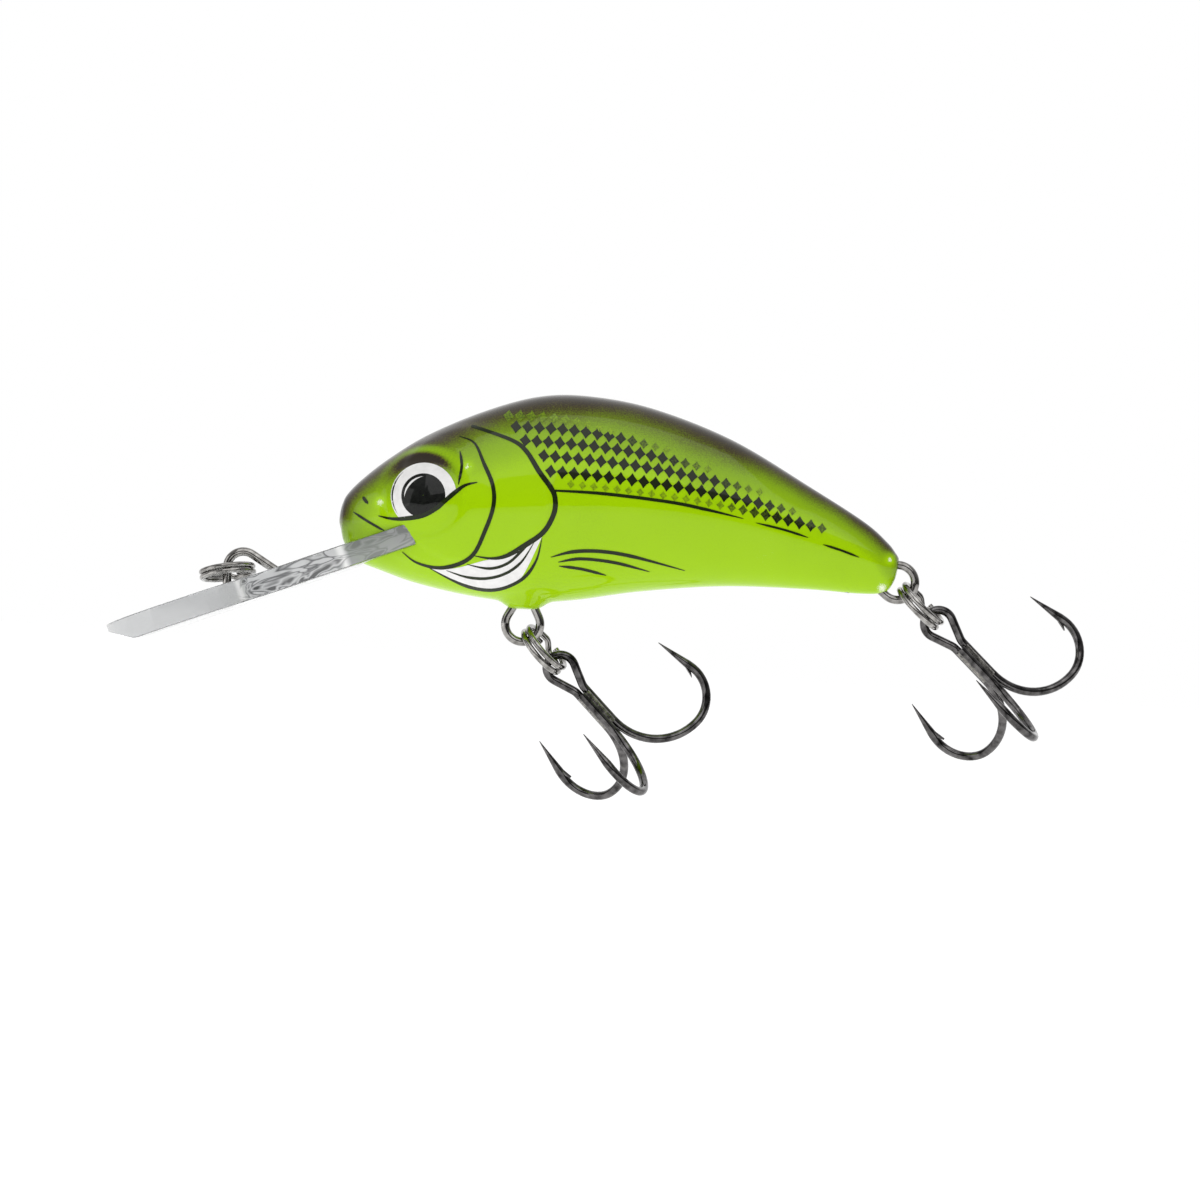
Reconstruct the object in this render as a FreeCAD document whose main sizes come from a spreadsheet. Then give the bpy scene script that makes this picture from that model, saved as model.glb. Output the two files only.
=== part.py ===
"""Crankbait lure: two welded ABS half shells, a diving lip, wire loops, split rings and trebles.

Frame: origin at the centre of the line tie's loop, +X towards the tail, +Y to the fish's
right, +Z up.  Millimetres.
"""
import FreeCAD
import Part
import math
import os

Vector = FreeCAD.Vector

SIZES = (
    # the fish-shaped body
    ("body_length", 45.0),
    ("back_rise", 11.4),          # back above the body's axis, at its highest
    ("belly_drop", 5.5),          # belly below the axis, at its lowest
    ("body_width", 10.6),
    ("shell_wall", 1.2),
    ("nose_ahead", 7.4),          # nose behind the line tie
    ("axis_above", 4.4),          # body axis above the line tie
    ("rib_wall", 0.8),
    ("eye_behind", 6.8),          # eye centre behind the nose
    ("eye_rise", 2.35),
    ("eye_radius", 2.7),
    ("eye_bulge", 0.3),
    ("eye_root", 1.1),            # the dome's ball goes on inside the cheek by this much
    # weld pins between the half shells
    ("pin_radius", 0.6),
    ("pin_length", 1.5),
    ("pin_boss_radius", 1.4),
    # the boss at the belly hanger
    ("boss_width", 2.6),
    ("boss_drop", 0.5),
    ("boss_round", 0.8),
    # the diving lip
    ("lip_length", 25.7),
    ("lip_width", 13.0),
    ("lip_thickness", 1.85),
    ("lip_slope", 22.8),
    ("lip_tang_depth", 5.75),     # how far the tang's end lies behind the nose
    ("lip_root_rise", 0.15),      # the tang's end above the body's axis
    ("lip_tang_width", 8.6),
    ("lip_neck_width", 7.2),
    ("lip_tang_run", 8.74),       # places along the lip, from the tang's end
    ("lip_waist_run", 11.57),
    ("lip_shoulder_run", 14.52),
    ("lip_blade_run", 16.96),
    ("lip_corner_ahead", 4.37),   # the blade's corners behind its front
    ("lip_bevel", 2.6),
    ("lip_block_behind", 3.2),    # plastic around the tang, behind its end
    # wire loops
    ("loop_wire", 0.7),
    ("tie_radius", 1.3),          # centre line of the line tie's loop
    ("tie_back_slope", 29.7),
    ("tie_front_lean", 4.3),
    ("tie_entry_bend", 1.2),
    ("tie_foot_depth", 0.3),      # the front leg's foot below the lip's middle plane
    ("anchor_run", 1.8),          # the wire goes on behind the tang, then turns up
    ("anchor_rise", 2.6),
    ("anchor_bend", 0.8),
    ("hanger_radius", 1.4),       # centre line of a hanger's loop
    ("hanger_leg", 3.9),          # loop centre to the feet inside the body
    ("belly_hanger_behind", 15.3),
    ("belly_hanger_drop", 1.75),  # loop centre below the belly
    ("tail_hanger_past", 0.05),   # loop centre behind the body's end
    ("tail_hanger_drop", 1.65),   # loop centre below the axis
    # split rings
    ("ring_outside", 4.6),
    ("ring_coil", 0.56),          # one coil along the ring's axis
    ("ring_radial", 0.45),
    ("tie_ring_coil", 0.42),
    ("tie_ring_hang", 0.8),       # where it bears on its loop, behind the loop's centre
    ("coil_gap", 0.02),
    ("crossover_half_turn", 16.0),
    # treble hooks
    ("hook_wire", 0.7),
    ("hook_reach", 11.2),         # eye centre to the outside of the bends
    ("hook_gape", 7.85),          # shank centre line to spear centre line
    ("shank_offset", 0.45),       # a shank's centre line from the treble's axis
    ("tight_bend", 0.37),         # share of the gape that the bend nearer the point takes
    ("spear_lean", 12.0),
    ("eye_loop_radius", 1.15),
    ("eye_loop_drop", 2.24),      # eye centre to where the wires meet
    ("spear_length", 3.4),
    ("point_taper", 3.0),
    ("barb_height", 0.36),
    ("barb_thickness", 0.24),
    ("braze_radius", 0.62),
    ("braze_length", 3.2),
    ("braze_start", 0.5),         # past the place where the eye's wires meet
    # loose and hidden pieces
    ("ballast_diameter", 4.8),
    ("ballast_length", 6.0),
    ("ballast_ahead", 4.1),       # ahead of the belly hanger
    ("ballast_floor", 0.15),      # plastic under the ballast, more than the wall
    ("ball_diameter", 2.6),
    ("ball_travel", 2.0),
    ("cells_behind", 18.675),     # first rattle cell behind the nose
    ("cells_above", 1.824),       # cells' centre line above the axis
    # clearances
    ("fit_gap", 0.05),            # around a piece that is glued or trapped
    ("loose_gap", 0.2),           # around a rattle ball
)

WAIST = 0.42            # widest height, as a share of the difference of back and belly
SECTION_POINTS = 16
THINNEST = 0.4          # no hollow where less than this would be left between the walls

# Side outline and plan of the body: distance behind the nose as a share of its length,
# then the back, the belly and the half width as shares of their largest values.
STATIONS = (
    (0.0007, 0.06, 0.05, 0.07),
    (0.004, 0.12, 0.13, 0.18),
    (0.012, 0.19, 0.33, 0.31),
    (0.036, 0.30, 0.56, 0.50),
    (0.080, 0.456, 0.69, 0.70),
    (0.147, 0.645, 0.84, 0.86),
    (0.245, 0.842, 0.965, 0.97),
    (0.340, 0.972, 1.00, 1.00),
    (0.430, 1.00, 0.91, 0.985),
    (0.545, 0.945, 0.715, 0.91),
    (0.690, 0.765, 0.55, 0.73),
    (0.835, 0.475, 0.50, 0.50),
    (0.935, 0.26, 0.505, 0.35),
    (0.978, 0.13, 0.46, 0.28),
    (0.994, 0.06, 0.30, 0.20),
    (0.9995, 0.03, 0.10, 0.08),
)

doc = FreeCAD.newDocument("Crankbait")
sheet = doc.addObject("Spreadsheet::Sheet", "Sizes")
for row, (alias, value) in enumerate(SIZES, start=1):
    sheet.set("A%d" % row, alias)
    sheet.set("B%d" % row, str(value))
    sheet.setAlias("B%d" % row, alias)
doc.recompute()

LEFT, RIGHT = -1, 1
BODY_HALVES = (("left_shell", LEFT), ("right_shell", RIGHT))


def size(alias):
    """One driving size, read from the sheet."""
    return float(sheet.get(alias))


def primitive(kind, name, bound, place=None):
    """A Part primitive whose properties are bound to expressions on the sheet."""
    thing = doc.addObject("Part::" + kind, name)
    for prop, expression in bound.items():
        thing.setExpression(prop, expression)
    if place:
        thing.Placement = place
    return thing


def combine(kind, name, base, *tools):
    """A Part boolean: Fuse joins all, Cut takes the tools from the base."""
    if kind == "Fuse":
        result = doc.addObject("Part::MultiFuse", name)
        result.Shapes = [base] + list(tools)
        return result
    for number, tool in enumerate(tools, start=1):
        result = doc.addObject("Part::" + kind, name if number == len(tools) else name + "_step")
        result.Base = base
        result.Tool = tool
        base = result
    return base


def shaped(name, shape):
    """A Part::Feature around a shape made with Part's own functions."""
    thing = doc.addObject("Part::Feature", name)
    thing.Shape = shape
    return thing


def turned(angle, axis, base=Vector()):
    """A placement: moved to base, turned by angle about axis."""
    return FreeCAD.Placement(base, FreeCAD.Rotation(axis, angle))


def in_plane(x, z):
    """A point of the lure's middle plane."""
    return Vector(x, 0, z)


def heading(angle):
    """The direction in the middle plane at an angle above +X."""
    return Vector(math.cos(math.radians(angle)), 0, math.sin(math.radians(angle)))


# ---------------------------------------------------------------- shapes by formula

def share_at(column, x):
    """A column of STATIONS at a distance x behind the line tie, between two stations."""
    along = (x - size("nose_ahead")) / size("body_length")
    for low, high in zip(STATIONS, STATIONS[1:]):
        if low[0] <= along <= high[0]:
            part = (along - low[0]) / (high[0] - low[0])
            return low[column] + part * (high[column] - low[column])
    return STATIONS[-1][column]


def belly_z(x):
    return size("axis_above") - size("belly_drop") * share_at(2, x)


def back_z(x):
    return size("axis_above") + size("back_rise") * share_at(1, x)


def body_solid(inset, side):
    """The body's outside, or with an inset the space that its wall leaves.

    The surface's seam runs along the flank away from the side that is wanted.
    """
    sections = []
    for along, back, belly, wide in STATIONS:
        x = size("nose_ahead") + size("body_length") * along
        rise = size("back_rise") * back - inset
        drop = size("belly_drop") * belly - inset
        half = size("body_width") / 2 * wide - inset
        if inset and min(rise, drop, half) < THINNEST:
            continue
        waist = size("axis_above") + WAIST * (rise - drop)
        crown = size("axis_above") + rise - waist
        keel = waist - size("axis_above") + drop
        points = []
        for step in range(SECTION_POINTS):
            turn = 2 * math.pi * step / SECTION_POINTS - side * math.pi / 2
            reach = crown if math.cos(turn) > 0 else keel
            points.append(Vector(x, half * math.sin(turn), waist + reach * math.cos(turn)))
        outline = Part.BSplineCurve()
        outline.interpolate(Points=points, PeriodicFlag=True)
        sections.append(Part.Wire(outline.toShape()))
    return Part.makeLoft(sections, True, False)


def bent_path(points, radii):
    """Straight runs through points, each inner corner rounded by its tangent arc."""
    edges = []
    start = points[0]
    for before, corner, after, radius in zip(points, points[1:], points[2:], radii):
        into = (corner - before).normalize()
        out = (after - corner).normalize()
        half_turn = into.getAngle(out) / 2
        cut = radius * math.tan(half_turn)
        arc_start = corner - into * cut
        arc_end = corner + out * cut
        inward = (out - into).normalize()
        centre = corner + inward * (radius / math.cos(half_turn))
        edges.append(Part.LineSegment(start, arc_start).toShape())
        edges.append(Part.Arc(arc_start, centre - inward * radius, arc_end).toShape())
        start = arc_end
    edges.append(Part.LineSegment(start, points[-1]).toShape())
    return edges


def round_wire(edges, radius):
    """A round wire along a chain of tangent edges, its seam clear of the middle plane."""
    path = Part.Wire(edges)
    start = edges[0].valueAt(edges[0].FirstParameter)
    direction = edges[0].tangentAt(edges[0].FirstParameter)
    profile = Part.Wire(Part.makeCircle(radius, start, direction, 45, 405))
    return path.makePipeShell([profile], True, False)


# ---------------------------------------------------------------- places that pieces share

def lip_back_end():
    """The top of the tang's square end, inside the head."""
    x = size("nose_ahead") + size("lip_tang_depth")
    return in_plane(x, size("axis_above") + size("lip_root_rise"))


def lip_place():
    """The lip's own frame: x forwards and down along its top face, z out of it."""
    flip = FreeCAD.Rotation(Vector(0, 0, 1), 180)
    slope = FreeCAD.Rotation(Vector(0, 1, 0), -size("lip_slope"))
    return FreeCAD.Placement(lip_back_end(), slope.multiply(flip))


def belly_loop():
    x = size("nose_ahead") + size("belly_hanger_behind")
    return in_plane(x, belly_z(x) - size("belly_hanger_drop"))


def tail_loop():
    x = size("nose_ahead") + size("body_length") + size("tail_hanger_past")
    return in_plane(x, size("axis_above") - size("tail_hanger_drop"))


HANGERS = (("belly_hanger", belly_loop, 90.0), ("tail_hanger", tail_loop, 170.0))


def ballast_centre():
    x = belly_loop().x - size("ballast_ahead")
    floor = size("shell_wall") + size("ballast_floor") + size("fit_gap")
    return in_plane(x, belly_z(x) + floor + size("ballast_diameter") / 2)


def cell_length():
    return size("ball_diameter") + size("ball_travel") + 2 * size("loose_gap")


def cell_start(number):
    """The front of a rattle cell, counted from the one nearest the head."""
    first = size("nose_ahead") + size("cells_behind")
    return first + number * (cell_length() + size("rib_wall"))


def cell_height():
    return size("axis_above") + size("cells_above")


def eye_centre():
    return in_plane(size("nose_ahead") + size("eye_behind"), size("axis_above") + size("eye_rise"))


def line_tie_edges():
    """Anchor in the head, run through the lip, back leg, loop and front leg."""
    slope = size("lip_slope")
    back_angle = 180 - size("tie_back_slope")
    front_angle = 270 + size("tie_front_lean")
    middle = lip_back_end() + heading(slope - 90) * (size("lip_thickness") / 2)
    run = heading(slope)
    anchor_bend = middle + run * size("anchor_run")
    # corner of the loop: where the two legs' lines would meet
    mean_normal = (back_angle + front_angle) / 2 - 90
    half_turn = math.radians((front_angle - back_angle) / 2)
    crown = heading(mean_normal) * (size("tie_radius") / math.cos(half_turn))
    # corner in the lip: the back leg's line meets the lip's middle plane
    leg = heading(back_angle + 180)
    offset = crown - middle
    along = (offset.x * run.z - offset.z * run.x) / (leg.z * run.x - leg.x * run.z)
    entry = crown + leg * along
    # the front leg stops inside the lip's thickness
    down = heading(front_angle)
    offset = crown - middle
    depth = (offset.x * run.z - offset.z * run.x) / (down.z * run.x - down.x * run.z)
    foot = crown + down * (depth + size("tie_foot_depth"))
    top = anchor_bend + Vector(0, 0, size("anchor_rise"))
    bends = [size("anchor_bend"), size("tie_entry_bend"), size("tie_radius")]
    return bent_path([top, anchor_bend, entry, crown, foot], bends)


# ---------------------------------------------------------------- pieces

def make_lip():
    """Clear polycarbonate plate: tang, waisted neck and wide rounded blade."""
    length = size("lip_length")
    tang = size("lip_tang_width") / 2
    neck = size("lip_neck_width") / 2
    blade = size("lip_width") / 2
    body = doc.addObject("PartDesign::Body", "lip_plate")
    sketch = body.newObject("Sketcher::SketchObject", "lip_outline")
    plane = [item for item in body.Origin.OriginFeatures if item.Role == "XY_Plane"][0]
    sketch.AttachmentSupport = [(plane, "")]
    sketch.MapMode = "FlatFace"
    tang_run = size("lip_tang_run")
    waist = size("lip_waist_run")
    shoulder = size("lip_shoulder_run")
    wide = size("lip_blade_run")
    corner = length - size("lip_corner_ahead")
    mid_wide = (neck + blade) / 2
    half = (
        (Vector(0, tang, 0), None, Vector(tang_run, tang, 0)),
        (Vector(tang_run, tang, 0), Vector(waist, neck, 0), Vector(shoulder, mid_wide, 0)),
        (Vector(shoulder, mid_wide, 0), Vector((shoulder + wide) / 2, blade - 0.45, 0),
         Vector(wide, blade, 0)),
        (Vector(wide, blade, 0), None, Vector(corner, blade, 0)),
        (Vector(corner, blade, 0), Vector(length - 1.75, 0.74 * blade, 0),
         Vector(length - 0.35, 0.36 * blade, 0)),
    )
    geometry = []
    for side in (1, -1):
        for start, through, end in half:
            ends = [Vector(point.x, side * point.y, 0) for point in (start, end)]
            if through:
                middle = Vector(through.x, side * through.y, 0)
                geometry.append(Part.Arc(ends[0], middle, ends[1]))
            else:
                geometry.append(Part.LineSegment(*ends))
    front = Vector(length - 0.35, 0.36 * blade, 0)
    geometry.append(Part.Arc(front, Vector(length, 0, 0), Vector(front.x, -front.y, 0)))
    geometry.append(Part.LineSegment(Vector(0, tang, 0), Vector(0, -tang, 0)))
    sketch.addGeometry(geometry, False)
    pad = body.newObject("PartDesign::Pad", "lip_thickness_pad")
    pad.Profile = sketch
    pad.setExpression("Length", "Sizes.lip_thickness")
    pad.Reversed = True
    body.Placement = lip_place()
    doc.recompute()

    bevel = primitive("Box", "lip_bevel_cutter", {
        "Length": "Sizes.lip_bevel * 3",
        "Width": "Sizes.lip_width * 2",
        "Height": "Sizes.lip_thickness * 2",
    })
    thick = size("lip_thickness")
    start = Vector(length - size("lip_bevel"), -size("lip_width"), -thick)
    rise = math.degrees(math.atan2(0.7 * thick, size("lip_bevel")))
    local = FreeCAD.Placement(start, FreeCAD.Rotation(Vector(0, 1, 0), -rise))
    sink = FreeCAD.Placement(Vector(0, 0, -2 * thick), FreeCAD.Rotation())
    bevel.Placement = lip_place().multiply(local).multiply(sink)
    channel = shaped("lip_wire_channel",
                     round_wire(line_tie_edges(), size("loop_wire") / 2 + size("fit_gap")))
    return combine("Cut", "diving_lip", body, bevel, channel)


def make_line_tie():
    return shaped("line_tie_wire", round_wire(line_tie_edges(), size("loop_wire") / 2))


def keyhole_edges(origin, ahead, spread, loop, neck, gap, legs, radii):
    """Out along one leg, round a loop about the origin and back along the other leg.

    The legs lie gap either side of the ahead line; their corners into the loop are at the
    neck, and legs lists the further points (ahead, outwards) of each leg.
    """
    angle = math.asin(loop / math.hypot(neck, gap)) - math.atan2(gap, neck)

    def side_points(side):
        touch = origin + ahead * (loop * math.sin(angle)) + spread * (side * loop * math.cos(angle))
        points = [origin + ahead * x + spread * (side * out) for x, out in [(neck, gap)] + legs]
        return [touch] + points

    one, two = side_points(1), side_points(-1)
    crown = origin - ahead * loop
    over = Part.Arc(one[0], crown, two[0]).toShape()
    into = bent_path(list(reversed(one)), list(reversed(radii)))
    return into + [over] + bent_path(two, radii)


def hanger_edges(loop, angle):
    """A loop outside the body and two legs inside it, their feet bent apart."""
    gap = size("loop_wire") / 2 + size("fit_gap")
    radius = size("hanger_radius")
    knee = size("hanger_leg")
    foot = gap + 2 * size("loop_wire")
    return keyhole_edges(loop, heading(angle), heading(angle - 90), radius, 1.6 * radius, gap,
                         [(knee, gap), (knee, foot)], [0.8 * radius, size("loop_wire")])


def make_hanger(name, loop, angle):
    """Stainless wire bent to a loop, trapped by its feet between the shells."""
    return shaped(name, round_wire(hanger_edges(loop, angle), size("loop_wire") / 2))


def split_ring_shape(coil):
    """Two flat coils side by side with one crossover, centred, its axis along z."""
    radial = size("ring_radial")
    middle = (size("ring_outside") - radial) / 2
    step = (coil + size("coil_gap")) / 2
    ramp = math.radians(size("crossover_half_turn"))

    def at(turn, height):
        return Vector(middle * math.cos(turn), middle * math.sin(turn), height)

    def coil_arc(height):
        return Part.Arc(at(ramp, height), at(math.pi, height), at(-ramp, height)).toShape()

    cross = Part.BSplineCurve()
    points = []
    for part in range(7):
        share = part / 6
        lift = step * math.sin(math.pi * (share - 0.5))
        points.append(at(-ramp + 2 * ramp * share, lift))
    start_way = Vector(math.sin(ramp), math.cos(ramp), 0)
    end_way = Vector(-math.sin(ramp), math.cos(ramp), 0)
    cross.interpolate(Points=points, InitialTangent=start_way, FinalTangent=end_way)
    path = Part.Wire([coil_arc(-step), cross.toShape(), coil_arc(step)])
    start = at(ramp, -step)
    outward = Vector(math.cos(ramp), math.sin(ramp), 0)
    up = Vector(0, 0, 1)
    corners = [start + outward * (radial / 2 * a) + up * (coil / 2 * b)
               for a, b in ((-1, -1), (1, -1), (1, 1), (-1, 1))]
    profile = Part.makePolygon(corners + corners[:1])
    sweep = Part.BRepOffsetAPI.MakePipeShell(path)
    sweep.setBiNormalMode(up)
    sweep.add(profile, False, False)
    sweep.build()
    sweep.makeSolid()
    return sweep.shape()


CHAINS = {
    # loop centre, ring's heading, its roll, treble's heading, first hook's azimuth, lean
    "belly": (belly_loop, -45.6, 12.0, -43.7, -15.0, 7.7),
    "tail": (tail_loop, -41.4, 10.0, -41.7, -20.0, 6.0),
}


def ring_slide():
    """How far the ring's wire hangs from the loop's centre, its corners just inside."""
    hole = size("hanger_radius") - size("loop_wire") / 2 - size("fit_gap")
    side = size("ring_coil") + 0.06
    return math.sqrt(hole ** 2 - side ** 2) - size("ring_radial") / 2


def ring_middle():
    return (size("ring_outside") - size("ring_radial")) / 2


def make_ring(name, coil, hung_at, angle, roll):
    """A split ring hung at a point, its middle in the heading, rolled about that heading."""
    ring = shaped(name, split_ring_shape(coil))
    along = FreeCAD.Rotation(Vector(0, 1, 0), -angle)
    rolled = FreeCAD.Rotation(Vector(1, 0, 0), roll)
    crossover = FreeCAD.Rotation(Vector(0, 0, 1), 90)
    centre = hung_at + heading(angle) * ring_middle()
    ring.Placement = FreeCAD.Placement(centre, along.multiply(rolled).multiply(crossover))
    return ring


def make_hook_ring(chain):
    """A split ring hanging in a hanger's loop, its plane across the lure."""
    loop, angle, roll = CHAINS[chain][:3]
    hung_at = loop() + heading(angle) * ring_slide()
    return make_ring(chain + "_ring", size("ring_coil"), hung_at, angle, roll)


TIE_RING_HEADING = 192.0
TIE_RING_ROLL = 8.0


def make_line_tie_ring():
    """The ring that the line or snap goes on, lying along the lip."""
    hung_at = in_plane(size("tie_ring_hang"), 0)
    coil = size("tie_ring_coil")
    return make_ring("line_tie_ring", coil, hung_at, TIE_RING_HEADING, TIE_RING_ROLL)


# Each hook is drawn with its shank along x, the eye's centre at the origin.

def outward(azimuth):
    turn = math.radians(azimuth)
    return Vector(0, -math.sin(turn), math.cos(turn))


def hook_bend(azimuth, start):
    """Shank from x = start, round the bend and up to the point's taper: edges and end."""
    side = outward(azimuth)
    ahead = Vector(1, 0, 0)
    wire = size("hook_wire")
    bottom = size("hook_reach") - wire / 2
    tight = size("tight_bend") * size("hook_gape")
    wide = size("hook_gape") - tight
    lean = math.radians(size("spear_lean"))
    offset = size("shank_offset")
    first = bottom - wide

    def at(x, out):
        return ahead * x + side * out

    shank_end = at(first, offset)
    turn = math.sqrt(0.5)
    belly_point = at(bottom, offset + wide)
    knee = at(first + wide * turn, offset + wide * (1 - turn))
    centre_x = bottom - tight
    centre_out = offset + wide
    half = math.pi / 4 - lean / 2
    heel = at(centre_x + tight * math.sin(half), centre_out + tight * math.cos(half))
    spear = at(centre_x - tight * math.sin(lean), centre_out + tight * math.cos(lean))
    rise = at(-math.cos(lean), -math.sin(lean))
    taper_start = spear + rise * (size("spear_length") - size("point_taper"))
    edges = [
        Part.LineSegment(at(start, offset), shank_end).toShape(),
        Part.Arc(shank_end, knee, belly_point).toShape(),
        Part.Arc(belly_point, heel, spear).toShape(),
        Part.LineSegment(spear, taper_start).toShape(),
    ]
    return edges, taper_start, rise


def hook_point(azimuth, taper_start, rise):
    """The ground cone and the barb that is cut up on its inside."""
    radius = size("hook_wire") / 2
    taper = size("point_taper")
    cone = Part.makeCone(radius, 0.03, taper, taper_start, rise)
    side = outward(azimuth)
    inward = (side * -1 - rise * (side * -1).dot(rise)).normalize()
    across = rise.cross(inward).normalize()
    corners = (
        (0.15 * taper, 0.4 * radius),
        (-0.3 * taper, radius + size("barb_height")),
        (-0.12 * taper, 0.5 * radius),
    )
    thick = size("barb_thickness")
    outline = [taper_start + rise * x + inward * y - across * (thick / 2) for x, y in corners]
    barb = Part.Face(Part.makePolygon(outline + outline[:1])).extrude(across * thick)
    return cone, barb


def double_wire_shape(first):
    """One wire: a hook, the eye and a second hook 120 degrees round."""
    ends = (first, first - 120)
    offset = outward(first - 60) * (size("shank_offset") / 2)
    spread = outward(first + 30)
    gap = size("shank_offset") * math.sqrt(0.75)
    reach = size("eye_loop_drop")
    shank_start = reach + 0.8
    eye = keyhole_edges(offset, Vector(1, 0, 0), spread, size("eye_loop_radius"), reach, gap,
                        [(shank_start, gap)], [2 * size("hook_wire")])
    one, one_end, one_rise = hook_bend(ends[0], shank_start)
    two, two_end, two_rise = hook_bend(ends[1], shank_start)
    path = Part.Wire(list(reversed(one)) + eye + two)
    profile = Part.Wire(Part.makeCircle(size("hook_wire") / 2, one_end, one_rise))
    wire = path.makePipeShell([profile], True, False)
    tips = hook_point(ends[0], one_end, one_rise) + hook_point(ends[1], two_end, two_rise)
    return wire.fuse(tips)


def single_wire_shape(azimuth):
    """The third hook, a separate wire brazed to the other two shanks."""
    edges, end, rise = hook_bend(azimuth, size("eye_loop_drop") + size("hook_wire") / 2)
    path = Part.Wire(edges)
    start = edges[0].valueAt(edges[0].FirstParameter)
    profile = Part.Wire(Part.makeCircle(size("hook_wire") / 2, start, Vector(1, 0, 0)))
    wire = path.makePipeShell([profile], True, False)
    return wire.fuse(hook_point(azimuth, end, rise))


def make_treble(chain):
    """Double wire, single wire and the braze between their shanks."""
    loop, angle, _, hook_angle, first, lean = CHAINS[chain]
    pivot = loop() + heading(angle) * (ring_slide() + 2 * ring_middle())
    down = FreeCAD.Rotation(Vector(0, 1, 0), -hook_angle)
    leaned = FreeCAD.Rotation(Vector(0, 0, 1), lean)
    place = FreeCAD.Placement(pivot, down.multiply(leaned))
    double = shaped(chain + "_treble_double_wire", double_wire_shape(first))
    single = shaped(chain + "_treble_single_wire", single_wire_shape(first + 120))
    start = Vector(size("eye_loop_drop") + size("braze_start"), 0, 0)
    core = shaped(chain + "_braze_core", Part.makeCylinder(
        size("braze_radius"), size("braze_length"), start, Vector(1, 0, 0)))
    for piece in (double, single, core):
        piece.Placement = place
    braze = combine("Cut", chain + "_treble_braze", core, double, single)
    return [double, single, braze]


def make_ballast():
    """A lead slug across the body, ahead of the belly hanger."""
    centre = ballast_centre()
    start = centre - Vector(0, size("ballast_length") / 2, 0)
    place = turned(-90, Vector(1, 0, 0), start)
    bound = {"Radius": "Sizes.ballast_diameter / 2", "Height": "Sizes.ballast_length"}
    return primitive("Cylinder", "ballast_weight", bound, place)


BALLS = ("rattle_ball_front", "rattle_ball_middle", "rattle_ball_rear")


def make_balls():
    """Steel balls, each resting at the front of its own cell."""
    balls = []
    for number, name in enumerate(BALLS):
        x = cell_start(number) + size("loose_gap") + size("ball_diameter") / 2
        place = FreeCAD.Placement(in_plane(x, cell_height()), FreeCAD.Rotation())
        balls.append(primitive("Sphere", name, {"Radius": "Sizes.ball_diameter / 2"}, place))
    return balls


def across(name, centre, radius, half_width):
    """A cylinder across the body, both ways from its middle plane."""
    start = centre - Vector(0, half_width, 0)
    return shaped(name, Part.makeCylinder(radius, 2 * half_width, start, Vector(0, 1, 0)))


def shell_insides():
    """What the two shells carry inside, as one solid before it is trimmed to the body."""
    wide = size("body_width")
    rib = size("rib_wall")
    gap = size("fit_gap")
    tall = size("back_rise") + size("belly_drop") + 4
    blocks = []
    for name, loop, angle in HANGERS:
        middle = loop() + heading(angle) * (0.75 * size("hanger_leg"))
        blocks.append(across(name + "_block", middle, 0.75 * size("hanger_leg"), wide))
    radius = size("ballast_diameter") / 2 + gap + rib
    blocks.append(across("ballast_block", ballast_centre(), radius, wide))
    for centre in pin_centres():
        blocks.append(across("pin_boss", centre, size("pin_boss_radius"), wide))
    # block around the lip's tang and the wire's anchor
    block = primitive("Box", "lip_block", {
        "Length": "Sizes.lip_tang_depth + Sizes.lip_block_behind",
        "Width": "Sizes.body_width * 2",
        "Height": "Sizes.lip_thickness + 2 * Sizes.shell_wall",
    })
    lift = size("shell_wall")
    corner = Vector(-size("lip_block_behind"), -wide, -size("lip_thickness") - lift)
    block.Placement = lip_place().multiply(FreeCAD.Placement(corner, FreeCAD.Rotation()))
    blocks.append(block)
    # bulkheads either side of the rattle cells, and the tube of cells between them
    low = size("axis_above") - size("belly_drop") - 2
    for number in (0, len(BALLS)):
        x = cell_start(number) - rib
        blocks.append(shaped("bulkhead", Part.makeBox(rib, 2 * wide, tall, Vector(x, -wide, low))))
    tube = size("ball_diameter") / 2 + size("loose_gap") + rib
    run = cell_start(len(BALLS)) - cell_start(0)
    blocks.append(shaped("cell_tube", Part.makeCylinder(
        tube, run, in_plane(cell_start(0) - rib, cell_height()), Vector(1, 0, 0))))
    return blocks


# share of the body's length behind the nose, and whether the pin is on the back
PINS = ((0.16, True), (0.36, True), (0.60, True), (0.84, True), (0.50, False))


def pin_centres():
    """Weld pins, their bosses half sunk in the wall of the back or the belly."""
    sink = size("shell_wall") + 0.65 * size("pin_boss_radius")
    centres = []
    for along, on_back in PINS:
        x = size("nose_ahead") + along * size("body_length")
        centres.append(in_plane(x, back_z(x) - sink if on_back else belly_z(x) + sink))
    return centres


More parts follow.
